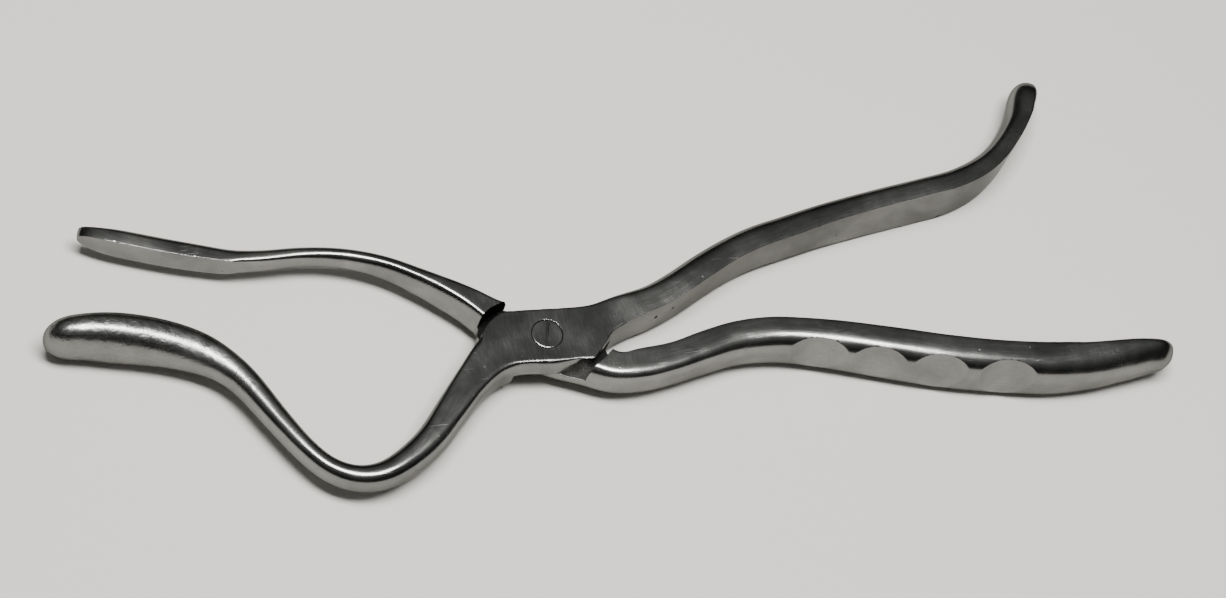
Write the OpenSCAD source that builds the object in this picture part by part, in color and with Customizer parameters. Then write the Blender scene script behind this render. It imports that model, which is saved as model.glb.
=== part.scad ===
// Maxillary disimpaction forceps: two forged halves in a half-lap joint, one pivot screw.
// Origin on the screw axis at the flat underside of the joint, +X towards the handles, +Y to
// the side of the flat nasal blade, +Z out of the screw head.  Millimetres.

/* [Joint] */
// thickness of the whole lap joint
joint_t = 9; // [7:0.5:12]
// play between the two lap faces
lap_gap = 0.06; // [0.02:0.01:0.2]

/* [Screw] */
// diameter of the countersunk-flat screw head
head_d = 6.8; // [5:0.1:8]
// depth of the screw head
head_t = 1.6; // [1:0.1:2.5]
// diameter of the screw shank
shank_d = 4.6; // [3.5:0.1:5.5]
// radial running clearance of the screw in the upper half
run_gap = 0.04; // [0.02:0.01:0.09]
// width of the worn screwdriver slot
slot_w = 0.5; // [0.3:0.1:1]
// depth of the worn screwdriver slot
slot_t = 0.4; // [0.2:0.1:0.8]

/* [Handles] */
// depth of the finger scallops
scallop_t = 1; // [0.3:0.1:2]
// radius of the grinding wheel that cut the scallops
scallop_r = 13; // [8:1:50]
// radius of the rounded ends
tip_r = 3; // [1:0.5:5]

/* [Hidden] */
half_t = joint_t / 2;
eps = 0.01;
ring_n = 20;
sub = 2;

// turn of each lap plate away from +X
upper_a = -4.6;
lower_a = -18;

// stations: x, y, width to the left, width to the right, height, left and right squareness
upper_st = [
    [-101.5, 14.5, 3.2, 3.2, 10.5, 2.4, 2.2],
    [-96, 14.3, 3.8, 4.2, 12.6, 2.6, 2.2],
    [-90, 13.4, 4, 4.8, 13.4, 2.6, 2.2],
    [-84, 12, 4, 4.9, 12.4, 2.6, 2.2],
    [-78, 10, 3.9, 4.8, 10.8, 2.5, 2.2],
    [-72.5, 7.2, 3.6, 4.4, 9, 2.4, 2.2],
    [-68, 3.4, 3, 3.7, 7.6, 2.3, 2.2],
    [-64.5, -1.5, 2.7, 3.2, 7, 2.3, 2.3],
    [-60, -10.5, 2.4, 2.7, 6.5, 2.3, 2.3],
    [-56, -17.8, 2.2, 2.4, 6.5, 2.3, 2.3],
    [-52, -22.8, 2.2, 2.4, 6.5, 2.3, 2.3],
    [-47, -25.6, 2.3, 2.6, 6.8, 2.3, 2.3],
    [-41.5, -25.8, 2.5, 2.9, 7.1, 2.4, 2.3],
    [-36, -23.7, 2.8, 3.2, 7.5, 2.6, 2.4],
    [-30, -19.6, 3, 3.6, 8, 3, 2.6],
    [-24, -13.6, 3.3, 3.8, 8.5, 4, 3],
    [-18, -7.6, 3.7, 4, 8.8, 5, 3.5],
    [-12, -3, 5, 4.8, 8.9, 5, 4],
    [-5, -0.4, 6.6, 6.6, 8.9, 5, 5],
    [4, -0.5, 6.7, 6.7, 8.9, 5, 5],
    [12, 1.6, 4.8, 3.8, 8.9, 5, 6],
    [19, 3.8, 4.4, 2.8, 9.3, 3.5, 8],
    [26, 5, 4.8, 2, 10, 3, 8],
    [33, 7.2, 5.5, 1.4, 10.4, 2.8, 8],
    [40, 10.4, 5.8, 1.1, 10.5, 2.8, 8],
    [47, 13.6, 5.7, 1, 10.5, 2.8, 8],
    [54, 16, 5.7, 1, 10.6, 2.8, 8],
    [62, 17.8, 5.6, 1, 10.8, 2.8, 8],
    [72, 20, 5.3, 1, 11.7, 2.8, 8],
    [84, 22, 5.1, 1, 12.5, 2.8, 8],
    [97, 23.9, 4.9, 1, 12.9, 2.8, 8],
    [105, 25.2, 5, 1, 12.7, 2.7, 8],
    [112.5, 28, 4.8, 1, 12.2, 2.5, 7.6],
    [119, 32.4, 4.3, 1, 11.2, 2.4, 7],
    [125, 38.4, 4.1, 1.1, 10, 2.3, 5.5],
    [129.6, 44.5, 4.3, 1.4, 8.8, 2.2, 4],
    [132.5, 50, 3.8, 1.8, 7.4, 2.2, 2.6]
];
lower_st = [
    [-91.5, 37.8, 1.7, 0.9, 4.4, 2.2, 4],
    [-88, 36, 2.8, 0.9, 5.8, 2.2, 6],
    [-82, 33.5, 3.5, 0.8, 6.2, 2.2, 7],
    [-75, 31, 3.5, 0.8, 6.2, 2.2, 7],
    [-69, 29.4, 3.1, 1, 6, 2.2, 6],
    [-62.5, 28.1, 2.4, 1.4, 5.7, 2.2, 4],
    [-56, 27.8, 1.9, 1.6, 5.4, 2.2, 3],
    [-48, 27.6, 1.8, 1.6, 5.3, 2.2, 2.4],
    [-41, 26.7, 1.8, 1.7, 5.4, 2.2, 2.2],
    [-35, 25, 1.9, 1.8, 5.6, 2.2, 2.2],
    [-29.5, 22.4, 2, 1.8, 6, 2.3, 2.3],
    [-24, 18.7, 2.2, 1.9, 6.6, 2.6, 2.4],
    [-19, 14.8, 2.6, 2.1, 7.4, 3.5, 2.6],
    [-14, 10.8, 2.8, 2.6, 8.2, 5, 3],
    [-9.5, 6.8, 3.4, 3.6, 8.8, 5, 4],
    [-4, 2.6, 6.2, 6, 8.9, 4, 4],
    [3, -1, 6.6, 6.6, 8.9, 3.4, 3.4],
    [9, -4.4, 3.4, 6, 8.9, 4, 3],
    [14, -7.4, 1.3, 5.2, 8.9, 6, 3.2],
    [20, -7.6, 1.5, 5.4, 9.2, 6, 4],
    [27, -7, 1.4, 5.1, 9.6, 6, 4.2],
    [34, -5.4, 1.4, 5.3, 10, 6, 4.2],
    [42, -4, 1.4, 5.4, 10.2, 6, 4.2],
    [50, -4, 1.4, 5.5, 10.5, 6, 4.2],
    [57, -5.2, 1.4, 5.4, 11, 6, 4.2],
    [66, -7.4, 1.5, 5.7, 11.5, 6, 4.2],
    [78, -11, 1.6, 6, 12.2, 6, 4.2],
    [90, -14.6, 1.6, 6.1, 12.6, 6, 4.2],
    [102, -17.5, 1.6, 6, 12.7, 6, 4.2],
    [114, -19.5, 1.6, 6.3, 12.6, 6, 4],
    [124, -20, 1.6, 6.2, 12.1, 5, 3.6],
    [132, -20.1, 1.6, 5.5, 11.4, 4, 3],
    [138, -20.4, 1.6, 4.6, 10.4, 3.4, 2.6],
    [141.5, -20.7, 1.6, 4, 8.6, 3, 2.4]
];
// finger scallops: centre on the outer side, and turn of the handle there
scallops = [
    [60.2, -11.6, -16],
    [73, -15.9, -17.5],
    [86.4, -19.9, -16],
    [101.6, -23.6, -12]
];
// plan of the upper lap plate about its own axis
plate_pts = [
    [-14.2, 0.8], [-13.2, 2.4], [-12.1, 3.7], [-10.8, 4.8], [-9.5, 5.6], [-8.3, 6],
    [12.6, 6.2], [16, 5], [15.2, 1.4], [14.4, 0.2], [13.6, -1.2], [12.8, -2.4],
    [11.8, -3.7], [10.8, -4.9], [9.6, -6.3], [-7.6, -6.2], [-10, -6.4], [-14, -4.4]
];
// the lower one is narrower, for its edges are rounded more, and it is turned over
low_plate_pts = [
    [-14.2, 0.8], [-13.2, 2.4], [-12.1, 3.7], [-10.9, 4.7], [12, 4.7], [15, 4],
    [15.2, 1.4], [14.4, 0.2], [13.6, -1.2], [12.8, -2.4], [11.8, -3.7], [10.9, -4.7],
    [-10.5, -4.7], [-14, -3]
];
// plan of the lap: the room that the other half's plate sweeps, with the shoulders at its ends
lap_room = [
    [-4, -30], [-6.4, -8.2], [-8.8, -6.8], [-10, -6.1], [-11.3, -5.2], [-12.6, -4.1],
    [-13.7, -2.7], [-14.8, -0.9], [-15.4, 2], [-17, 6], [-17, 30], [8, 30], [8, 12],
    [9, 8.2], [10.3, 6.7], [11.3, 5.3], [12.3, 4.1], [13.3, 2.8], [14.1, 1.5],
    [15, 0.1], [15.7, -1.2], [17, -4], [18, -30]
];

function cr(a, b, c, d, t) =
    0.5 * (2 * b + (c - a) * t + (2 * a - 5 * b + 4 * c - d) * t * t
    + (3 * b - a - 3 * c + d) * t * t * t);
function at(p, i) = p[max(0, min(len(p) - 1, i))];
function dense(p) = [
    for (i = [0:len(p) - 2], j = [0:sub - 1])
        cr(at(p, i - 1), p[i], p[i + 1], at(p, i + 2), j / sub),
    p[len(p) - 1]
];
function unit(v) = v / norm(v);
function dir(p, i) = unit([
    at(p, i + 1)[0] - at(p, i - 1)[0], at(p, i + 1)[1] - at(p, i - 1)[1]
]);
function shrink(s, d, len, f) = [
    s[0] + d[0] * len, s[1] + d[1] * len, s[2] * f, s[3] * f, s[4] * f, s[5], s[6]
];
// rounded ends: sections that shrink along a quarter circle
function cap_first(p, r) = [
    for (a = [72, 50, 26]) shrink(p[0], -dir(p, 0), r * sin(a), cos(a))
];
function cap_last(p, r) = [
    for (a = [26, 50, 72]) shrink(p[len(p) - 1], dir(p, len(p) - 1), r * sin(a), cos(a))
];
function pw(v, e) = sign(v) * pow(abs(v), e);
function ring(s, d) = [
    for (k = [0:ring_n - 1])
        let (
            a = 360 * k / ring_n,
            c = cos(a),
            w = c >= 0 ? s[2] : s[3],
            e = 2 / (c >= 0 ? s[5] : s[6]),
            u = w * pw(c, e),
            v = s[4] / 2 * pw(sin(a), e)
        )
        [s[0] - d[1] * u, s[1] + d[0] * u, v]
];
// closed solid through the sections
module sweep(p, dirs) {
    n = len(p);
    m = ring_n;
    pts = [for (i = [0:n - 1], q = ring(p[i], dirs[i])) q];
    sides = [
        for (i = [0:n - 2], k = [0:m - 1], h = [0, 1])
            let (
                a = i * m + k,
                b = i * m + (k + 1) % m,
                c = a + m,
                d = b + m
            )
            h == 0 ? [a, d, b] : [a, c, d]
    ];
    ends = [
        [for (k = [0:m - 1]) k],
        [for (k = [m - 1:-1:0]) (n - 1) * m + k]
    ];
    polyhedron(points = pts, faces = concat(sides, ends), convexity = 8);
}
// one forged half from blade tip to handle end
module bar(st, r0, r1) {
    p = dense(st);
    d = [for (i = [0:len(p) - 1]) dir(p, i)];
    sweep(
        concat(cap_first(p, r0), p, cap_last(p, r1)),
        concat([for (i = [0:2]) d[0]], d, [for (i = [0:2]) d[len(d) - 1]])
    );
}

// flat joint plate above the mid-plane
module lap_plate(pts) {
    translate([0, 0, lap_gap / 2])
        linear_extrude(height = half_t - lap_gap / 2)
            polygon(pts);
}

// everything of the bar below the lap face, between the shoulders
module lap_cut() {
    translate([0, 0, lap_gap / 2 - 20])
        linear_extrude(height = 20)
            polygon(lap_room);
}

module turn_over() {
    mirror([0, 1, 0])
        mirror([0, 0, 1])
            children();
}

// all shapes are drawn about the joint's mid-plane and lifted to stand on its underside
module steel() {
    translate([0, 0, half_t])
        color([0.68, 0.69, 0.68])
            children();
}

// palatal blade, upper lap plate and hooked handle
module upper_half() {
    steel()
        difference() {
            union() {
                difference() {
                    bar(upper_st, tip_r, tip_r);
                    rotate([0, 0, upper_a])
                        lap_cut();
                }
                rotate([0, 0, upper_a])
                    lap_plate(plate_pts);
            }
            translate([0, 0, -1])
                cylinder(d = shank_d + 2 * run_gap, h = joint_t, $fn = 64);
            translate([0, 0, half_t - head_t])
                cylinder(d = head_d + 2 * run_gap, h = head_t + 1, $fn = 64);
        }
}

// nasal blade, lower lap plate and scalloped handle
module lower_half() {
    steel()
        difference() {
            union() {
                difference() {
                    bar(lower_st, tip_r * 0.8, tip_r);
                    rotate([0, 0, lower_a])
                        turn_over()
                            lap_cut();
                }
                rotate([0, 0, lower_a])
                    turn_over()
                        lap_plate(low_plate_pts);
            }
            translate([0, 0, -joint_t])
                cylinder(d = shank_d, h = 2 * joint_t, $fn = 64);
            for (s = scallops)
                translate([s[0], s[1], 0])
                    rotate([0, 0, s[2]])
                        translate([0, scallop_t - scallop_r, -10])
                            cylinder(r = scallop_r, h = 20, $fn = 72);
        }
}

// flush screw: head in the upper plate, shank threaded into the lower plate
module pivot_screw() {
    steel()
        difference() {
            union() {
                translate([0, 0, -half_t])
                    cylinder(d = shank_d, h = joint_t - eps, $fn = 64);
                translate([0, 0, half_t - head_t + 0.02])
                    cylinder(d = head_d, h = head_t - 0.02, $fn = 64);
            }
            translate([-slot_w / 2, -head_d, half_t - slot_t])
                cube([slot_w, 2 * head_d, 2]);
        }
}

upper_half();
lower_half();
pivot_screw();
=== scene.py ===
import math
import bpy
import bmesh
import numpy as np
from mathutils import Matrix, Vector


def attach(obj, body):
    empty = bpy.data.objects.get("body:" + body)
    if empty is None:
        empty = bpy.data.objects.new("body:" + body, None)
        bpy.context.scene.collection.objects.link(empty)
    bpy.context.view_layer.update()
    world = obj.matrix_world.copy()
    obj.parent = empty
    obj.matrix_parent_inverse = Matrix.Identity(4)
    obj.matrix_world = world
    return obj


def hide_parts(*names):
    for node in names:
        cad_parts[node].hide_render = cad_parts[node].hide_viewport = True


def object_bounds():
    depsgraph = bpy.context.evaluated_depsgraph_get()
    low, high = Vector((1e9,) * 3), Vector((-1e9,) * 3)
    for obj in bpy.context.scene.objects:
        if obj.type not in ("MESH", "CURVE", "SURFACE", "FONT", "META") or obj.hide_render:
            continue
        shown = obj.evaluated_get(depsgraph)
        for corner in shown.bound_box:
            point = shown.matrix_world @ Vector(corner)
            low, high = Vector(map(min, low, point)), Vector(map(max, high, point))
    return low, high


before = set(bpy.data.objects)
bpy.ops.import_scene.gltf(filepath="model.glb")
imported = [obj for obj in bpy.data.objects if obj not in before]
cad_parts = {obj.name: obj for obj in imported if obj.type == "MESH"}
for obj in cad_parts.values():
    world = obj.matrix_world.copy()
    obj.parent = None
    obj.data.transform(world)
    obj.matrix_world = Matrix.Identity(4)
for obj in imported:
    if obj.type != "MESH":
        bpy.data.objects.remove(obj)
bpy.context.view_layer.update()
MM = 0.001
MID = 4.5          # height of the joint's mid-plane over its underside, mm
CELL = 0.28        # cell of the surfaces, mm
STEP = 0.5         # spacing of the points on a centre line, mm
REACH = 9          # how far from the centre line a surface may be, mm
TALL = 7.3         # how far above and below the mid-plane, mm

# ---------------------------------------------------------------- shapes, in mm about the mid-plane
# stations: x, y, width to the left, width to the right, height, left and right squareness
UPPER = [
    (-101.5, 14.5, 3.2, 3.2, 10.5, 2.4, 2.2), (-96, 14.3, 3.8, 4.2, 12.6, 2.6, 2.2),
    (-90, 13.4, 4, 4.8, 13.4, 2.6, 2.2), (-84, 12, 4, 4.9, 12.4, 2.6, 2.2),
    (-78, 10, 3.9, 4.8, 10.8, 2.5, 2.2), (-72.5, 7.2, 3.6, 4.4, 9, 2.4, 2.2),
    (-68, 3.4, 3, 3.7, 7.6, 2.3, 2.2), (-64.5, -1.5, 2.7, 3.2, 7, 2.3, 2.3),
    (-60, -10.5, 2.4, 2.7, 6.5, 2.3, 2.3), (-56, -17.8, 2.2, 2.4, 6.5, 2.3, 2.3),
    (-52, -22.8, 2.2, 2.4, 6.5, 2.3, 2.3), (-47, -25.6, 2.3, 2.6, 6.8, 2.3, 2.3),
    (-41.5, -25.8, 2.5, 2.9, 7.2, 2.4, 2.3), (-36, -23.7, 2.8, 3.2, 8, 2.6, 2.4),
    (-30, -19.6, 3, 3.6, 8.8, 3, 2.6), (-24, -13.6, 3.3, 3.8, 9.4, 4, 3),
    (-18, -7.6, 3.7, 4, 9.8, 5, 3.5), (-12, -3, 5, 4.8, 10, 5, 4),
    (-5, -0.4, 6.6, 6.6, 10, 5, 5), (4, -0.5, 6.7, 6.7, 10, 5, 5),
    (12, 1.6, 4.8, 3.8, 10, 5, 6), (19, 3.8, 4.4, 2.8, 9.8, 3.5, 8),
    (26, 5, 4.8, 2, 10.1, 3, 8), (33, 7.2, 5.5, 1.4, 10.4, 2.8, 8),
    (40, 10.4, 5.8, 1.1, 10.5, 2.8, 8), (47, 13.6, 5.7, 1, 10.5, 2.8, 8),
    (54, 16, 5.7, 1, 10.6, 2.8, 8), (62, 17.8, 5.6, 1, 10.8, 2.8, 8),
    (72, 20, 5.3, 1, 11.7, 2.8, 8), (84, 22, 5.1, 1, 12.5, 2.8, 8),
    (97, 23.9, 4.9, 1, 12.9, 2.8, 8), (105, 25.2, 5, 1, 12.7, 2.7, 8),
    (112.5, 28, 4.8, 1, 12.2, 2.5, 8), (119, 32.4, 4.3, 1, 11.2, 2.4, 7.6),
    (125, 38.4, 4.1, 1.1, 10, 2.3, 6.9), (129.6, 44.5, 4.3, 1.4, 8.8, 2.2, 5.6),
    (132.5, 50, 3.8, 1.8, 7.4, 2.2, 4),
]
LOWER = [
    (-91.5, 37.8, 1.5, 0.9, 4.2, 2.2, 7.2), (-88, 36, 2.8, 0.9, 5.8, 2.2, 8),
    (-82, 33.5, 3.5, 0.8, 6.2, 2.2, 8), (-75, 31, 3.5, 0.8, 6.2, 2.2, 7.8),
    (-69, 29.4, 3.1, 1, 6, 2.2, 6.8), (-62.5, 28.2, 2.4, 1.4, 5.7, 2.2, 5.6),
    (-56, 27.8, 1.9, 1.6, 5.4, 2.2, 3.8), (-48, 27.6, 1.8, 1.6, 5.3, 2.2, 2.6),
    (-41, 26.7, 1.8, 1.7, 5.4, 2.2, 2.2), (-35, 25, 1.9, 1.8, 5.8, 2.2, 2.2),
    (-29.5, 22.4, 2, 1.8, 6.8, 2.3, 2.3), (-24, 18.7, 2.2, 1.9, 7.8, 2.6, 2.4),
    (-19, 14.8, 2.6, 2.1, 8.8, 3.5, 2.6), (-14, 10.8, 2.8, 2.6, 9.6, 5, 3),
    (-9.5, 6.8, 3.4, 3.6, 9.8, 5, 4), (-4, 2.6, 6.2, 6, 9.8, 4, 4),
    (3, -1, 6.6, 6.6, 9.8, 3.4, 3.4), (9, -4.4, 3.4, 6, 9.8, 4, 3),
    (14, -7.4, 1.3, 5.2, 9.6, 6, 3.2), (20, -7.6, 1.5, 5.4, 9.5, 6, 4),
    (27, -7, 1.4, 5.1, 9.6, 6, 4.2), (34, -5.4, 1.4, 5.3, 10, 6, 4.2),
    (42, -4, 1.4, 5.4, 10.2, 6, 4.2), (50, -4, 1.4, 5.5, 10.5, 6, 4.2),
    (57, -5.2, 1.4, 5.4, 11, 6, 4.2), (66, -7.4, 1.5, 5.7, 11.5, 6, 4.2),
    (78, -11, 1.6, 6, 12.2, 6, 4.2), (90, -14.6, 1.6, 6.1, 12.6, 6, 4.2),
    (102, -17.5, 1.6, 6, 12.7, 6, 4.2), (114, -19.5, 1.6, 6.3, 12.6, 6, 4),
    (124, -20, 1.6, 6.2, 12.1, 5, 3.6), (132, -20.1, 1.6, 5.5, 11.4, 4, 3),
    (138, -20.4, 1.6, 4.6, 10.4, 3.4, 2.6), (141.5, -20.7, 1.6, 4, 8.6, 3, 2.4),
]
# outlines in plan at the joint, before the half is turned; the lower half's are mirrored
PLATE = [
    (-14.2, 0.8), (-13.2, 2.4), (-12.1, 3.7), (-10.8, 4.8), (-9.5, 5.6), (-8.3, 6),
    (12.6, 6.2), (16, 5), (15.2, 1.4), (14.4, 0.2), (13.6, -1.2), (12.8, -2.4),
    (11.8, -3.7), (10.8, -4.9), (9.6, -6.3), (-7.6, -6.2), (-10, -6.4), (-14, -4.4),
]
LOW_PLATE = [
    (-14.2, 0.8), (-13.2, 2.4), (-12.1, 3.7), (-10.9, 4.7), (12, 4.7), (15, 4),
    (15.2, 1.4), (14.4, 0.2), (13.6, -1.2), (12.8, -2.4), (11.8, -3.7), (10.9, -4.7),
    (-10.5, -4.7), (-14, -3),
]
# room that the other half's plate sweeps
LAP_ROOM = [
    (-4, -30), (-6.4, -8.2), (-8.8, -6.8), (-10, -6.1), (-11.3, -5.2), (-12.6, -4.1),
    (-13.7, -2.7), (-14.8, -0.9), (-15.4, 2), (-17, 6), (-17, 30), (8, 30), (8, 12),
    (9, 8.2), (10.3, 6.7), (11.3, 5.3), (12.3, 4.1), (13.3, 2.8), (14.1, 1.5),
    (15, 0.1), (15.7, -1.2), (17, -4), (18, -30),
]
# turn of each half's outlines, degrees
UPPER_TURN = -4.6
LOWER_TURN = -18
# rounding of the blade end and of the handle end: where it starts, its reach and its fullness
UPPER_ENDS = ((9, 12, 2.3), (8, 11, 2.3))
LOWER_ENDS = ((8.4, 10.6, 2.1), (9, 12, 2.3))
# finger scallops: centre on the outer side, turn of the handle, depth at mid height
SCALLOPS = [
    (60.2, -11.6, -16, 0.9), (73, -15.9, -17.5, 1), (86.4, -19.9, -16, 1.05),
    (101.6, -23.6, -12, 1.2),
]
SCALLOP_R = 13
SCALLOP_LEAN = 0.24    # lean of the grinding wheel, mm to the side per mm of height

# a side whose squareness passes FLAT_FROM turns into a ground flat over the next FLAT_RUN
FLAT_FROM = 5
FLAT_RUN = 2.5
CROWN_SHIFT = 1.4      # how far the rounded back's centre moves away from a ground flat
CROWN_PAST = 1.8       # how much wider the back would be if the flat did not cut it
CROWN_N = 2.4          # squareness of that back
SOFTER = 0.38          # share of squareness that the scalloped handle's upper outer edge loses
PLATE_BLEND = 0.9      # fillet between bar and lap plate
TOP_BLEND = 0.34       # edge of the joint's flats
CREASE = 0.05          # edges as ground
LAP_GAP = 0.03         # lap face from the mid-plane

# ---------------------------------------------------------------- screw and looks
JOINT_T = 9.0          # thickness of the joint, mm
HOLE_R = 2.36          # hole for the screw's shank
BORE_R = 3.47          # counterbore for the screw's head
BORE_Z = 7.1           # floor of the counterbore
# the screw's profile: radius, height
SCREW = [
    (0, 0.02), (1.95, 0.02), (2.2, 0.12), (2.3, 0.3), (2.3, 7.3), (3.1, 7.42), (3.34, 7.6), (3.4, 7.8),
    (3.4, 8.86), (3.37, 8.94), (3.3, 8.985), (3.2, JOINT_T), (3.0, JOINT_T), (0, JOINT_T),
]
SLOT = (0.42, 9, 2)    # width, length and height of the box that cuts the slot
SLOT_T = 0.12          # depth of the slot at its middle
DOTS = [(26.1, 4.5, 0.7, 0.28), (30.6, 6.2, 0.6, 0.22)]    # punched dots: x, y, ball radius, depth
EDGE_R = 0.26          # rounding that edges show in the light, mm
GREYS = [(0.25, (0.15, 0.15, 0.147)), (0.5, (0.205, 0.205, 0.2)), (0.8, (0.265, 0.263, 0.255))]
STEEL_TINT = (0.4, 0.4, 0.39, 1)
ROOM = [(0.0, (0.02, 0.02, 0.02)), (0.45, (0.04, 0.041, 0.04)), (0.95, (0.24, 0.245, 0.238))]


def poly_sd(x, y, pts):
    """signed distance to a polygon, negative inside"""
    p = np.array(pts, float)
    q = np.roll(p, -1, axis=0)
    best = np.full(x.shape, 1e9)
    inside = np.zeros(x.shape, bool)
    for (ax, ay), (bx, by) in zip(p, q):
        ex, ey = bx - ax, by - ay
        wx, wy = x - ax, y - ay
        t = np.clip((wx * ex + wy * ey) / (ex * ex + ey * ey), 0, 1)
        best = np.minimum(best, (wx - ex * t) ** 2 + (wy - ey * t) ** 2)
        hit = ((ay > y) != (by > y)) & (x < (bx - ax) * (y - ay) / (by - ay + 1e-12) + ax)
        inside ^= hit
    d = np.sqrt(best)
    return np.where(inside, -d, d)


def smax(a, b, k):
    """the larger of two distances, rounded where they are less than k apart"""
    h = np.maximum(k - np.abs(a - b), 0) / k
    return np.maximum(a, b) + h * h * k * 0.25


def smin(a, b, k):
    """the smaller of two distances, rounded in the same way"""
    return -smax(-a, -b, k)


def even_out(v, passes):
    """soften values from point to point along a bar, in place"""
    for _ in range(passes):
        v[1:-1] = 0.25 * v[:-2] + 0.5 * v[1:-1] + 0.25 * v[2:]


def spline(st):
    """Catmull-Rom rows through the stations, twenty to a span"""
    rows = []
    n = len(st)
    for i in range(n - 1):
        a, b, c, d = st[max(i - 1, 0)], st[i], st[i + 1], st[min(i + 2, n - 1)]
        for t in np.arange(0, 1, 0.05):
            rows.append(0.5 * (2 * b + (c - a) * t + (2 * a - 5 * b + 4 * c - d) * t ** 2
                               + (3 * b - a - 3 * c + d) * t ** 3))
    rows.append(st[-1])
    return np.array(rows)


def lengths(rows):
    """length along a line of points, from its first"""
    return np.r_[0, np.cumsum(np.linalg.norm(np.diff(rows[:, :2], axis=0), axis=1))]


def flatness(n):
    """0 for a rounded side, 1 for a ground flat"""
    d = np.clip((n - FLAT_FROM) / FLAT_RUN, 0, 1)
    return d * d * (3 - 2 * d)


def from_wheel(x, y, cx, cy, turn, depth):
    """place along and across a scallop, from the axis of its grinding wheel"""
    a = math.radians(turn)
    along = (x - cx) * math.cos(a) + (y - cy) * math.sin(a)
    across = (y - cy) * math.cos(a) - (x - cx) * math.sin(a)
    return along, across + SCALLOP_R - depth


class Bar:
    """one forged half: a bar swept through stations, with lap plate, lap cut and ground faces"""

    def __init__(self, stations, ends, plate, turn, flip=False, scallops=()):
        st = np.array(stations, float)
        # the widths are kept a second time for the ground flats, which the end rounding leaves alone
        st = np.c_[st, st[:, 2:4]]
        gap = lengths(st)
        # undo the end rounding in the stations' sizes; it is put back as one smooth dome
        for (start, reach, fullness), dist in zip(ends, (gap, gap[-1] - gap)):
            e = np.clip((start - dist) / reach, 0, 0.9)
            st[:, 2:5] /= ((1 - e ** fullness) ** (1 / fullness))[:, None]
        rows = spline(st)
        s = lengths(rows)
        count = int(s[-1] / STEP) + 1
        even = np.linspace(0, s[-1], count)
        rows = np.stack([np.interp(even, s, column) for column in rows.T], 1)
        even_out(rows, 6)
        even_out(rows[:, 5:7], 36)      # flats fade in and out over a few millimetres
        ahead = np.gradient(rows[:, :2], axis=0)
        even_out(ahead, 4)
        ahead /= np.linalg.norm(ahead, axis=1)[:, None]
        self.line = rows[:, :2]
        self.sizes = rows[:, 2:]
        self.step = s[-1] / (count - 1)
        self.ahead = ahead
        self.left = np.stack([-ahead[:, 1], ahead[:, 0]], 1)
        self.ends = ends
        self.plate = plate
        self.turn = math.radians(turn)
        self.flip = flip
        self.scallops = scallops
        self.joint_s = np.argmin((self.line ** 2).sum(1)) * self.step

    def nearest(self, x, y):
        """index of the nearest point of the centre line, in blocks to save memory"""
        out = np.empty(len(x), int)
        for a in range(0, len(x), 20000):
            b = slice(a, a + 20000)
            d = (x[b, None] - self.line[None, :, 0]) ** 2 + (y[b, None] - self.line[None, :, 1]) ** 2
            out[b] = d.argmin(1)
        return out

    def plan(self, x, y, idx=None):
        """everything that depends on x and y only"""
        if idx is None:
            idx = self.nearest(x, y)
        last = len(self.line) - 1
        p, ahead = self.line[idx], self.ahead[idx]
        f = idx + ((x - p[:, 0]) * ahead[:, 0] + (y - p[:, 1]) * ahead[:, 1]) / self.step
        on = np.clip(f, 0, last)
        i = np.minimum(on.astype(int), last - 1)
        w = (on - i)[:, None]
        centre = self.line[i] * (1 - w) + self.line[i + 1] * w
        left = self.left[i] * (1 - w) + self.left[i + 1] * w
        left /= np.linalg.norm(left, axis=1)[:, None]
        u = (x - centre[:, 0]) * left[:, 0] + (y - centre[:, 1]) * left[:, 1]
        out = self.section(u, self.sizes[i] * (1 - w) + self.sizes[i + 1] * w)
        out["s"] = f * self.step
        out["end"], out["reach"], out["fullness"] = self.rounding(out["s"], last * self.step)
        out["plate"], out["lap"], out["top"] = self.joint(x, y)
        out["scallops"] = [from_wheel(x, y, *values) for values in self.scallops]
        out["soft"] = np.clip((x - 24) / 20, 0, 1) * (u < 0) if self.flip else np.zeros(x.shape)
        return out

    def rounding(self, s, total):
        """how far into the rounding of the nearer end, and that end's reach and fullness"""
        (a0, r0, m0), (a1, r1, m1) = self.ends
        e0 = (a0 - s) / r0
        e1 = (s - total + a1) / r1
        front = e0 > e1
        return np.maximum(np.maximum(e0, e1), 0), np.where(front, r0, r1), np.where(front, m0, m1)

    def section(self, u, sizes):
        """the cross-section: half width, half height and squareness, and the ground flats that cut it"""
        wl, wr, height, nl, nr, flat_l, flat_r = sizes.T
        dl, dr = flatness(nl), flatness(nr)
        off = CROWN_SHIFT * (dr - dl)
        half_l = (wl - off) * (1 + dl * CROWN_PAST)
        half_r = (wr + off) * (1 + dr * CROWN_PAST)
        nl, nr = nl + (CROWN_N - nl) * dl, nr + (CROWN_N - nr) * dr
        cut_l, cut_r = wl + (flat_l - wl) * dl, wr + (flat_r - wr) * dr
        left = u >= off
        return {"u": u - off, "half_w": np.where(left, half_l, half_r), "half_h": height / 2,
                "square": np.where(left, nl, nr), "flat": np.maximum(u - cut_l, -u - cut_r)}

    def joint(self, x, y):
        """distances to the lap plate and to the lap room in plan, and the height of the flats"""
        c, sn = math.cos(-self.turn), math.sin(-self.turn)
        px, py = x * c - y * sn, x * sn + y * c
        if self.flip:
            py = -py
        r = np.hypot(x, y)
        near = r < 40
        plate = np.full(x.shape, 20.0)
        lap = np.full(x.shape, 20.0)
        plate[near] = poly_sd(px[near], py[near], self.plate)
        lap[near] = poly_sd(px[near], py[near], LAP_ROOM)
        # the flats rise slowly out of the joint, farther out on the blades' side
        t = np.where(x < 0, np.maximum(r - 33, 0), np.maximum(r - 15, 0))
        top = MID + np.where(x < 0, 0.4, 0.19) * t * t / (t + 7)
        return plate, lap, top

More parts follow.
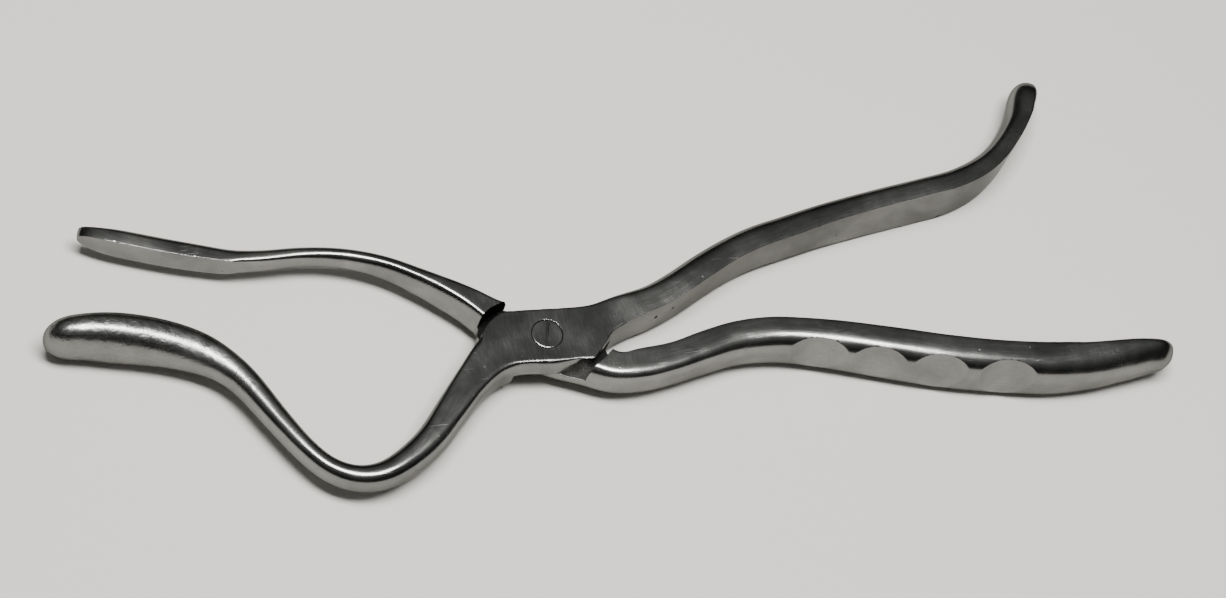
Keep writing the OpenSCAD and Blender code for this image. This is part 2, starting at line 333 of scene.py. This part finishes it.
    def combine(self, p, z):
        """signed distance to the half at height z, negative inside"""
        a = np.abs(p["u"]) / p["half_w"]
        v = np.abs(z) / p["half_h"]
        n = p["square"] * (1 - SOFTER * p["soft"] * (z > 0))
        q = np.maximum((a ** n + v ** n) ** (1 / n), 1e-4)
        gu = (a / q) ** (n - 1) / p["half_w"]
        gv = (v / q) ** (n - 1) / p["half_h"]
        m = p["fullness"]
        rho = (q ** m + p["end"] ** m) ** (1 / m)
        k = (q / rho) ** (m - 1)
        slope = np.sqrt((gu * k) ** 2 + (gv * k) ** 2 + ((p["end"] / rho) ** (m - 1) / p["reach"]) ** 2)
        d = np.maximum((rho - 1) / np.maximum(slope, 0.06), p["flat"])
        zz = -z if self.flip else z
        # lap plate on its own side of the mid-plane, blended into the bar
        d = smin(d, np.maximum(p["plate"], -zz), PLATE_BLEND)
        d = smax(d, np.abs(z) - p["top"], TOP_BLEND)
        # room for the other half's plate below the lap face
        room = np.maximum(p["lap"], zz - LAP_GAP)
        d = smax(d, -room, CREASE)
        for along, across in p["scallops"]:
            d = smax(d, SCALLOP_R - np.hypot(along, across - (z + 1) * SCALLOP_LEAN), CREASE)
        return d


# ---------------------------------------------------------------- surfaces
def probe(bar, P):
    """distance and direction out of the surface"""
    idx = bar.nearest(P[:, 0], P[:, 1])
    h = 0.02
    here = bar.plan(P[:, 0], P[:, 1], idx)
    f = bar.combine(here, P[:, 2])
    fx = bar.combine(bar.plan(P[:, 0] + h, P[:, 1], idx), P[:, 2])
    fy = bar.combine(bar.plan(P[:, 0], P[:, 1] + h, idx), P[:, 2])
    fz = bar.combine(here, P[:, 2] + h)
    return f, np.stack([fx - f, fy - f, fz - f], 1) / h


def beside(edges, v, n):
    """sum of a value over each vertex's neighbours"""
    return np.bincount(edges[:, 0], v[edges[:, 1]], n) + np.bincount(edges[:, 1], v[edges[:, 0]], n)


def sample(bar, cell):
    """the bar's distance on a grid, worked out near the centre line only, and the grid's axes"""
    lo = bar.line.min(0) - REACH
    hi = bar.line.max(0) + REACH
    gx = np.arange(lo[0], hi[0], cell)
    gy = np.arange(lo[1], hi[1], cell)
    gz = np.arange(-TALL, TALL + cell, cell) + 0.013
    X, Y = np.meshgrid(gx, gy, indexing="ij")
    near = np.zeros(X.shape, bool)
    for cx, cy in bar.line[::4]:
        i0, i1 = np.searchsorted(gx, [cx - REACH, cx + REACH])
        j0, j1 = np.searchsorted(gy, [cy - REACH, cy + REACH])
        box = (slice(i0, i1), slice(j0, j1))
        near[box] |= ((X[box] - cx) ** 2 + (Y[box] - cy) ** 2) < REACH ** 2
    ii, jj = np.nonzero(near)
    p = bar.plan(X[near], Y[near])
    F = np.full(X.shape + (len(gz),), 5.0, np.float32)
    for k, z in enumerate(gz):
        F[ii, jj, k] = bar.combine(p, np.full(len(ii), z))
    return F, (gx, gy, gz)


def number_cells(inside):
    """a number for each grid cell that the surface passes through, and how many there are"""
    mixed = np.zeros(tuple(n - 1 for n in inside.shape), bool)
    first = inside[:-1, :-1, :-1]
    for corner in np.ndindex(2, 2, 2):
        mixed |= inside[tuple(slice(d, n - 1 + d) for d, n in zip(corner, inside.shape))] != first
    count = int(mixed.sum())
    cells = -np.ones(mixed.shape, np.int64)
    cells[mixed] = np.arange(count)
    return cells, count


def crossings(bar, cell, F, axes, cells, ax):
    """where grid lines along one axis cross the surface, the way out there, and the cells round them"""
    inside = F < 0
    low, high = [slice(None)] * 3, [slice(None)] * 3
    low[ax], high[ax] = slice(0, F.shape[ax] - 1), slice(1, F.shape[ax])
    low, high = tuple(low), tuple(high)
    e = np.nonzero(inside[low] != inside[high])
    leaving = inside[low][e]
    fa, fb = F[low][e].astype(float), F[high][e].astype(float)
    pt = np.stack([axes[k][e[k]] for k in range(3)], 1)
    pt[:, ax] += cell * fa / (fa - fb)
    f, g = probe(bar, pt)
    slope = np.where(leaving, np.maximum(g[:, ax], 0.2), np.minimum(g[:, ax], -0.2))
    pt[:, ax] -= np.clip(f / slope, -0.3 * cell, 0.3 * cell)
    _, g = probe(bar, pt)
    quad = []
    for db, dc in ((-1, -1), (0, -1), (0, 0), (-1, 0)):
        q = [v.copy() for v in e]
        q[(ax + 1) % 3] += db
        q[(ax + 2) % 3] += dc
        quad.append(cells[tuple(q)])
    quad = np.stack(quad, 1)
    quad[~leaving] = quad[~leaving][:, ::-1]
    return quad, pt, g / np.maximum(np.linalg.norm(g, axis=1), 1e-9)[:, None]


def corner_points(Q, pt, way_out, count, cell):
    """one vertex per cell, where the tangent planes of its crossings meet: creases stay sharp"""
    owner = Q.T.ravel()

    def gather(v):
        return np.bincount(owner, np.tile(v, 4), count)

    share = gather(np.ones(len(pt)))
    c = np.stack([gather(pt[:, k]) for k in range(3)], 1) / share[:, None]
    A = np.empty((count, 3, 3))
    for i in range(3):
        for j in range(i, 3):
            A[:, i, j] = A[:, j, i] = gather(way_out[:, i] * way_out[:, j]) / share
    d = (way_out * pt).sum(1)
    rhs = np.stack([gather(way_out[:, k] * d) for k in range(3)], 1) / share[:, None]
    rhs -= np.einsum("nij,nj->ni", A, c)
    lam, vec = np.linalg.eigh(A)
    inv = np.where(lam > 0.05, 1 / np.maximum(lam, 1e-9), 0)
    move = np.einsum("nij,nj,nkj,nk->ni", vec, inv, vec, rhs)
    far = np.linalg.norm(move, axis=1)
    return c + move * np.minimum(1, cell / np.maximum(far, 1e-9))[:, None], lam[:, 1]


def settle(bar, P, Q, bend):
    """bring the vertices onto the true surface, evening them out between passes where it is smooth"""
    soft = np.clip(1 - bend / 0.02, 0, 1)[:, None]
    edges = np.concatenate([Q[:, [0, 1]], Q[:, [1, 2]], Q[:, [2, 3]], Q[:, [3, 0]]])
    count = len(P)
    deg = np.bincount(edges.ravel(), minlength=count).astype(float)
    for turn in range(4):
        if turn > 0:
            L = np.stack([beside(edges, P[:, k], count) for k in range(3)], 1) / deg[:, None] - P
            G /= np.maximum(np.linalg.norm(G, axis=1), 1e-9)[:, None]
            P = P + 0.6 * soft * (L - (L * G).sum(1)[:, None] * G)
        f, G = probe(bar, P)
        step = -f[:, None] * G / np.maximum((G ** 2).sum(1), 0.05)[:, None]
        far = np.linalg.norm(step, axis=1)
        P = P + step * (np.minimum(1, 0.2 / np.maximum(far, 1e-9)) * (bend < 0.05))[:, None]
    return P


def surface(bar, cell):
    """closed quad surface of the zero level of the bar's distance"""
    F, axes = sample(bar, cell)
    cells, count = number_cells(F < 0)
    found = [crossings(bar, cell, F, axes, cells, ax) for ax in range(3)]
    Q, pt, way_out = [np.concatenate(values) for values in zip(*found)]
    P, bend = corner_points(Q, pt, way_out, count, cell)
    return settle(bar, P, Q, bend), Q


# ---------------------------------------------------------------- meshes
def link(name, data):
    """a new object in the scene"""
    ob = bpy.data.objects.new(name, data)
    bpy.context.collection.objects.link(ob)
    return ob


def from_bmesh(name, bm):
    """a new object from a mesh under construction"""
    me = bpy.data.meshes.new(name)
    bm.to_mesh(me)
    bm.free()
    return link(name, me)


def make_object(name, P, Q, slot):
    """the quads as an object in the frame; the slot argument is not used"""
    me = bpy.data.meshes.new(name)
    V = P * MM
    V[:, 2] += MID * MM
    me.vertices.add(len(V))
    me.vertices.foreach_set("co", V.astype(np.float32).ravel())
    me.loops.add(Q.size)
    me.loops.foreach_set("vertex_index", Q.astype(np.int32).ravel())
    me.polygons.add(len(Q))
    me.polygons.foreach_set("loop_start", np.arange(0, Q.size, 4, dtype=np.int32))
    me.polygons.foreach_set("loop_total", np.full(len(Q), 4, np.int32))
    me.update(calc_edges=True)
    me.validate()
    ob = link(name, me)
    return ob


def lathe(name, profile, n=96):
    """closed solid of revolution about the screw axis; profile is (radius, height) in mm"""
    bm = bmesh.new()
    rings = []
    for r, z in profile:
        if r < 1e-6:
            rings.append([bm.verts.new((0, 0, z * MM))])
        else:
            turns = [2 * math.pi * k / n for k in range(n)]
            rings.append([bm.verts.new((r * math.cos(a) * MM, r * math.sin(a) * MM, z * MM)) for a in turns])
    for a, b in zip(rings[:-1], rings[1:]):
        for k in range(n):
            j = (k + 1) % n
            if len(a) == 1:
                bm.faces.new((a[0], b[j], b[k]))
            elif len(b) == 1:
                bm.faces.new((a[k], a[j], b[0]))
            else:
                bm.faces.new((a[k], a[j], b[j], b[k]))
    bmesh.ops.recalc_face_normals(bm, faces=bm.faces)
    return from_bmesh(name, bm)


def apply_all(ob):
    """bake the object's modifiers into its mesh"""
    dg = bpy.context.evaluated_depsgraph_get()
    me = bpy.data.meshes.new_from_object(ob.evaluated_get(dg))
    old = ob.data
    ob.modifiers.clear()
    ob.data = me
    bpy.data.meshes.remove(old)


def cut(ob, tools):
    """take the tools away from the object, and remove them"""
    for t in tools:
        m = ob.modifiers.new("cut", "BOOLEAN")
        m.operation = "DIFFERENCE"
        m.solver = "EXACT"
        m.object = t
    bpy.context.view_layer.update()
    apply_all(ob)
    for t in tools:
        bpy.data.objects.remove(t)


def shade(ob, angle=38):
    """smooth, but for edges sharper than the angle in degrees"""
    me = ob.data
    for p in me.polygons:
        p.use_smooth = True
    bm = bmesh.new()
    bm.from_mesh(me)
    lim = math.radians(angle)
    for e in bm.edges:
        if len(e.link_faces) == 2 and e.calc_face_angle(0) > lim:
            e.smooth = False
    bm.to_mesh(me)
    bm.free()


def store(me, name, kind, key, values):
    """keep a value per vertex under a name that the materials read"""
    me.attributes.new(name, kind, "POINT").data.foreach_set(key, values.astype(np.float32).ravel())


def bulge(me, P):
    """how convex the surface is at each vertex, per mm, evened out a little"""
    n = len(P)
    ev = np.empty(len(me.edges) * 2, np.int32)
    me.edges.foreach_get("vertices", ev)
    ev = ev.reshape(-1, 2)
    no = np.empty(n * 3, np.float32)
    me.vertex_normals.foreach_get("vector", no)
    no = no.reshape(-1, 3).astype(float)
    d = P[ev[:, 1]] - P[ev[:, 0]]
    k = ((no[ev[:, 1]] - no[ev[:, 0]]) * d).sum(1) / np.maximum((d ** 2).sum(1), 1e-4)
    deg = np.maximum(np.bincount(ev.ravel(), minlength=n).astype(float), 1)
    H = (np.bincount(ev[:, 0], k, n) + np.bincount(ev[:, 1], k, n)) / deg
    for _ in range(2):
        H = beside(ev, H, n) / deg
    return np.clip(H, -3, 3)


def flow(ob, bar):
    """values for the steel: place along, up and across the bar, convexity, blade wear, painted shade in the
    lap seams
    """
    me = ob.data
    co = np.empty(len(me.vertices) * 3, np.float32)
    me.vertices.foreach_get("co", co)
    P = co.reshape(-1, 3).astype(float) / MM
    P[:, 2] -= MID
    p = bar.plan(P[:, 0], P[:, 1])
    store(me, "flow", "FLOAT_VECTOR", "vector", np.stack([p["s"] - bar.joint_s, P[:, 2], p["u"]], 1))
    store(me, "edge", "FLOAT", "value", bulge(me, P))
    # the palatal blade is the most worn
    wear = np.zeros(len(P)) if bar.flip else np.clip((bar.joint_s - p["s"] - 74) / 22, 0, 1)
    store(me, "wear", "FLOAT", "value", wear)
    # painted shade in the lap seams, less of it on the open ledge beside the scalloped handle
    zz = -P[:, 2] if bar.flip else P[:, 2]
    seam_shade = np.clip(1.5 - np.abs(np.maximum(p["lap"], zz - LAP_GAP)) / 0.08, 0, 1)
    seam_shade *= np.where(P[:, 0] > 0, np.clip((P[:, 1] + 7.5) / 2, 0.25, 1), 1)
    store(me, "seam_shade", "FLOAT", "value", seam_shade)


# ---------------------------------------------------------------- steel
class Nodes:
    """short ways to build a node tree"""

    def __init__(self, mat):
        mat.use_nodes = True
        self.t = mat.node_tree
        self.t.nodes.clear()

    def new(self, kind, **kw):
        n = self.t.nodes.new(kind)
        for k, v in kw.items():
            setattr(n, k, v)
        return n

    def link(self, a, b):
        self.t.links.new(a, b)

    def math(self, op, a, b=None, clamp=False):
        n = self.new("ShaderNodeMath", operation=op)
        n.use_clamp = clamp
        for i, v in enumerate((a, b)):
            if v is None:
                continue
            if isinstance(v, (int, float)):
                n.inputs[i].default_value = v
            else:
                self.link(v, n.inputs[i])
        return n.outputs[0]

    def plus(self, total, value, factor, clamp=False):
        return self.math("ADD", total, self.math("MULTIPLY", value, factor), clamp=clamp)

    def attribute(self, name, output):
        n = self.new("ShaderNodeAttribute")
        n.attribute_name = name
        return n.outputs[output]

    def noise(self, vec, scale, detail=3, rough=0.55, dist=0.0):
        n = self.new("ShaderNodeTexNoise")
        n.inputs["Scale"].default_value = scale
        n.inputs["Detail"].default_value = detail
        n.inputs["Roughness"].default_value = rough
        n.inputs["Distortion"].default_value = dist
        self.link(vec, n.inputs["Vector"])
        return n.outputs["Fac"]

    def scaled(self, vec, s, loc=(0, 0, 0), rot=(0, 0, 0)):
        n = self.new("ShaderNodeMapping")
        n.inputs["Scale"].default_value = s
        n.inputs["Location"].default_value = loc
        n.inputs["Rotation"].default_value = rot
        self.link(vec, n.inputs["Vector"])
        return n.outputs["Vector"]

    def remap(self, v, a, b, c=0.0, d=1.0):
        n = self.new("ShaderNodeMapRange")
        n.inputs["From Min"].default_value = a
        n.inputs["From Max"].default_value = b
        n.inputs["To Min"].default_value = c
        n.inputs["To Max"].default_value = d
        self.link(v, n.inputs["Value"])
        return n.outputs["Result"]

    def ramp(self, v, stops):
        n = self.new("ShaderNodeValToRGB")
        cr = n.color_ramp
        while len(cr.elements) < len(stops):
            cr.elements.new(0.5)
        for e, (pos, col) in zip(cr.elements, stops):
            e.position = pos
            e.color = (*col, 1)
        self.link(v, n.inputs["Fac"])
        return n.outputs["Color"]


def polish_lines(N, mm, along_bar):
    """lines of the last polishing: across the plate at the joint, along the bars, skew in patches"""
    sep = N.new("ShaderNodeSeparateXYZ")
    N.link(along_bar, sep.inputs[0])
    joint = N.remap(N.math("ABSOLUTE", sep.outputs[0]), 26, 16)
    across = N.noise(N.scaled(mm, (7.0, 0.3, 0.3), rot=(0, 0, math.radians(18.5))), 1.0, 3, 0.6)
    along = N.noise(N.scaled(along_bar, (0.22, 4.5, 4.5)), 1.0, 3, 0.6)
    skew = N.noise(N.scaled(along_bar, (2.6, 1.2, 0.3), rot=(0.3, 0.2, 0.75)), 1.0, 3, 0.6)
    patches = N.remap(N.noise(mm, 0.11, 2, 0.5), 0.42, 0.62)
    lines = N.math("MULTIPLY", across, joint)
    lines = N.math("ADD", lines, N.math("MULTIPLY", along, N.math("SUBTRACT", 1.0, joint)))
    return N.plus(lines, N.math("MULTIPLY", skew, patches), 0.6)


def hairlines(N, mm):
    """long thin scratches in three directions"""
    hair = None
    for i, (rz, ry) in enumerate(((0.5, 0.3), (1.9, -0.5), (2.7, 0.9))):
        turned = N.scaled(mm, (0.05, 1.9, 1.9), loc=(7.3 * i, 3.1 * i, 1.7 * i), rot=(0.4 * i, ry, rz))
        line = N.remap(N.noise(turned, 1.0, 2, 0.6), 0.665, 0.72)
        line = N.math("MULTIPLY", line, N.remap(N.noise(mm, 0.16 + 0.05 * i, 1, 0.5), 0.5, 0.6))
        hair = line if hair is None else N.math("MAXIMUM", hair, line)
    return hair


def pitting(N, mm):
    """small pits, in patches"""
    spots = N.new("ShaderNodeTexVoronoi")
    spots.inputs["Scale"].default_value = 0.42
    N.link(mm, spots.inputs["Vector"])
    patches = N.remap(N.noise(mm, 0.28, 2, 0.6), 0.56, 0.66)
    return N.math("MULTIPLY", N.remap(spots.outputs["Distance"], 0.17, 0.06), patches)


def steel_colour(N, cloud, fine, lines, pits, forged):
    """neutral grey, darker in pits, with painted shade in hollows and lap seams, and brighter on convex
    edges, partly from wear and partly as a painted highlight
    """
    grey = N.ramp(cloud, GREYS)
    shade_by = N.plus(0.8, fine, 0.4)
    shade_by = N.plus(shade_by, N.math("SUBTRACT", lines, 0.5), 0.4)
    shade_by = N.plus(shade_by, pits, -0.45)
    if forged:
        edge = N.attribute("edge", "Fac")
        # painted shade: darker where the surface is hollow
        hollow_shade = N.remap(edge, -0.05, -0.9, 0.0, 0.55)
        # brighter on convex edges: partly real wear, partly a painted highlight
        worn = N.remap(edge, 0.5, 2.2, 0.0, 0.28)
        shade_by = N.math("ADD", N.math("SUBTRACT", shade_by, hollow_shade), worn)
        # painted shade: the steel is made darker along the lap seams
        seam_darkening = N.plus(1.0, N.attribute("seam_shade", "Fac"), -0.72)
        shade_by = N.math("MULTIPLY", shade_by, seam_darkening)
    rgb = N.new("ShaderNodeCombineColor")
    for socket in rgb.inputs:
        N.link(shade_by, socket)
    mix = N.new("ShaderNodeMix", data_type="RGBA", blend_type="MULTIPLY")
    mix.inputs["Factor"].default_value = 1.0
    # the mix node's colour sockets
    N.link(grey, mix.inputs[6])
    N.link(rgb.outputs[0], mix.inputs[7])
    return mix.outputs[2]


def steel(name, forged=True):
    """satin steel; a forged half also has grain along its bars, painted shade in seams and hollows, edges
    brightened partly by wear and partly as a painted highlight, and a worn blade
    """
    mat = bpy.data.materials.new(name)
    N = Nodes(mat)
    out = N.new("ShaderNodeOutputMaterial")
    bsdf = N.new("ShaderNodeBsdfPrincipled")
    N.link(bsdf.outputs[0], out.inputs["Surface"])
    bsdf.inputs["Metallic"].default_value = 1.0
    bsdf.inputs["Specular Tint"].default_value = STEEL_TINT
    mm = N.scaled(N.new("ShaderNodeTexCoord").outputs["Object"], (1000, 1000, 1000))
    lines = polish_lines(N, mm, N.attribute("flow", "Vector") if forged else mm)
    hair = hairlines(N, mm)
    pits = pitting(N, mm)
    fine = N.noise(mm, 2.6, 4, 0.62)
    waves = N.noise(mm, 0.21, 2, 0.45)
    cloud = N.noise(mm, 0.07, 4, 0.6, 0.4)
    N.link(steel_colour(N, cloud, fine, lines, pits, forged), bsdf.inputs["Base Color"])
    rough = N.plus(0.07, lines, 0.14)
    rough = N.plus(rough, cloud, 0.12)
    rough = N.plus(rough, pits, 0.12)
    rough = N.plus(rough, hair, 0.08, clamp=True)
    # relief in millimetres
    relief = N.math("MULTIPLY", lines, 0.005)
    relief = N.plus(relief, waves, 0.035)
    relief = N.plus(relief, hair, -0.004)
    relief = N.plus(relief, pits, -0.03)
    relief = N.plus(relief, fine, 0.004)
    if forged:
        worn = N.math("MULTIPLY", N.attribute("wear", "Fac"), N.noise(mm, 0.33, 4, 0.6, 0.6))
        rough = N.plus(rough, worn, 0.14)
        relief = N.plus(relief, worn, 0.17)
    N.link(rough, bsdf.inputs["Roughness"])
    bevel = N.new("ShaderNodeBevel")
    bevel.samples = 4
    bevel.inputs["Radius"].default_value = EDGE_R * MM
    bump = N.new("ShaderNodeBump")
    N.link(bevel.outputs["Normal"], bump.inputs["Normal"])
    bump.inputs["Strength"].default_value = 1.0
    bump.inputs["Distance"].default_value = MM
    N.link(relief, bump.inputs["Height"])
    N.link(bump.outputs["Normal"], bsdf.inputs["Normal"])
    return mat


def finish_with(ob, mat):
    """the object in one material"""
    ob.data.materials.clear()
    ob.data.materials.append(mat)


# ---------------------------------------------------------------- the two halves and the screw
def punch_dot(bar, x, y, r, sink):
    """a ball that leaves a small punched dot in the right-hand face of the bar"""
    i = int(np.argmin(((bar.line - (x, y)) ** 2).sum(1)))
    c = bar.line[i] - bar.left[i] * (bar.sizes[i, 1] + r - sink)
    bm = bmesh.new()
    bmesh.ops.create_icosphere(bm, subdivisions=3, radius=r * MM)
    bmesh.ops.translate(bm, verts=bm.verts, vec=(c[0] * MM, c[1] * MM, (MID + 0.3) * MM))
    return from_bmesh("dot", bm)


def slot_tool():
    """a thin box that cuts the worn slot: off the joint's axis, and deeper at one end"""
    bm = bmesh.new()
    bmesh.ops.create_cube(bm, size=1.0)
    for v in bm.verts:
        v.co = Vector([c * size * MM for c, size in zip(v.co, SLOT)])
    ob = from_bmesh("slot", bm)
    ob.location = (0.0, 0.0, (JOINT_T - SLOT_T + SLOT[2] / 2) * MM)
    ob.rotation_euler = (math.radians(-3.2), 0, math.radians(-18.8))
    bpy.context.view_layer.update()
    return ob


def upper_half(cell):
    """palatal blade, upper lap plate with the screw's counterbore, hooked handle with two dots"""
    bar = Bar(UPPER, UPPER_ENDS, PLATE, UPPER_TURN)
    ob = make_object("forging_upper", *surface(bar, cell), "steel_upper")
    hole = [(0, 3.0), (HOLE_R, 3.0), (HOLE_R, BORE_Z), (BORE_R, BORE_Z), (BORE_R, 10.5), (0, 10.5)]
    cut(ob, [lathe("hole", hole)] + [punch_dot(bar, *values) for values in DOTS])
    shade(ob)
    flow(ob, bar)
    return ob


def lower_half(cell):
    """thin nasal blade, lower lap plate with the hole for the shank, handle with finger scallops"""
    bar = Bar(LOWER, LOWER_ENDS, LOW_PLATE, LOWER_TURN, True, SCALLOPS)
    ob = make_object("forging_lower", *surface(bar, cell), "steel_lower")
    cut(ob, [lathe("hole", [(0, -1.0), (HOLE_R, -1.0), (HOLE_R, 6.0), (0, 6.0)])])
    shade(ob)
    flow(ob, bar)
    return ob


def pivot_screw():
    """turned screw with its head at the top and a worn slot across it"""
    screw = lathe("screw", SCREW)
    cut(screw, [slot_tool()])
    shade(screw, 30)
    return screw


# ---------------------------------------------------------------- floor, light, camera
def make_floor(z):
    """plain pale paper"""
    bpy.ops.mesh.primitive_plane_add(size=6.0, location=(0, 0, z))
    ob = bpy.context.object
    ob.name = "floor"
    mat = bpy.data.materials.new("floor")
    N = Nodes(mat)
    bsdf = N.new("ShaderNodeBsdfPrincipled")
    bsdf.inputs["Base Color"].default_value = (0.62, 0.605, 0.575, 1)
    bsdf.inputs["Roughness"].default_value = 0.8
    N.link(bsdf.outputs[0], N.new("ShaderNodeOutputMaterial").inputs["Surface"])
    ob.data.materials.append(mat)
    return ob


def key_light():
    """one long soft box overhead, which gives the bright line along each bar"""
    light = bpy.data.lights.new("key", "AREA")
    light.shape = "RECTANGLE"
    light.size = 0.6
    light.size_y = 0.24
    light.energy = 20
    light.color = (1.0, 0.99, 0.97)
    ob = link("key", light)
    ob.location = (-0.03, -0.07, 0.95)
    ob.rotation_euler = (Vector((0, -0.02, 0)) - ob.location).to_track_quat("-Z", "Y").to_euler()


def dim_room():
    """surroundings that brighten towards the ceiling"""
    world = bpy.data.worlds.new("studio")
    bpy.context.scene.world = world
    N = Nodes(world)
    height = N.new("ShaderNodeSeparateXYZ")
    N.link(N.new("ShaderNodeTexCoord").outputs["Generated"], height.inputs[0])
    room = N.new("ShaderNodeBackground")
    N.link(N.ramp(height.outputs[2], ROOM), room.inputs["Color"])
    N.link(room.outputs[0], N.new("ShaderNodeOutputWorld").inputs["Surface"])


def photo_camera():
    """the photograph's point of view"""
    lens = bpy.data.cameras.new("camera")
    lens.lens = 89.7
    lens.sensor_width = 36
    ob = link("camera", lens)
    eye = Vector((-0.1937, -0.2872, 0.5592))
    aim = Vector((0.0183, 0.0089, 0.0045))
    roll = math.radians(24.3)
    back = (eye - aim).normalized()
    level = Vector((0, 0, 1)).cross(back).normalized()
    upright = back.cross(level)
    right = level * math.cos(roll) + upright * math.sin(roll)
    up = -level * math.sin(roll) + upright * math.cos(roll)
    ob.matrix_world = Matrix.Translation(eye) @ Matrix((right, up, back)).transposed().to_4x4()
    bpy.context.scene.camera = ob


# ---------------------------------------------------------------- the scene
cell = CELL * 1.0
upper = upper_half(cell)
lower = lower_half(cell)
screw = pivot_screw()

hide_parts("upper_half")
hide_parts("lower_half")
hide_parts("pivot_screw")
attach(upper, "upper_body")
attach(lower, "lower_body")
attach(screw, "lower_body")

forged_steel = steel("forged_steel")
finish_with(upper, forged_steel)
finish_with(lower, forged_steel)
finish_with(screw, steel("screw_steel", forged=False))

lowest = min(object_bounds()[0][2], 0.0)
floor = make_floor(lowest - 0.0001)
key_light()
dim_room()
photo_camera()
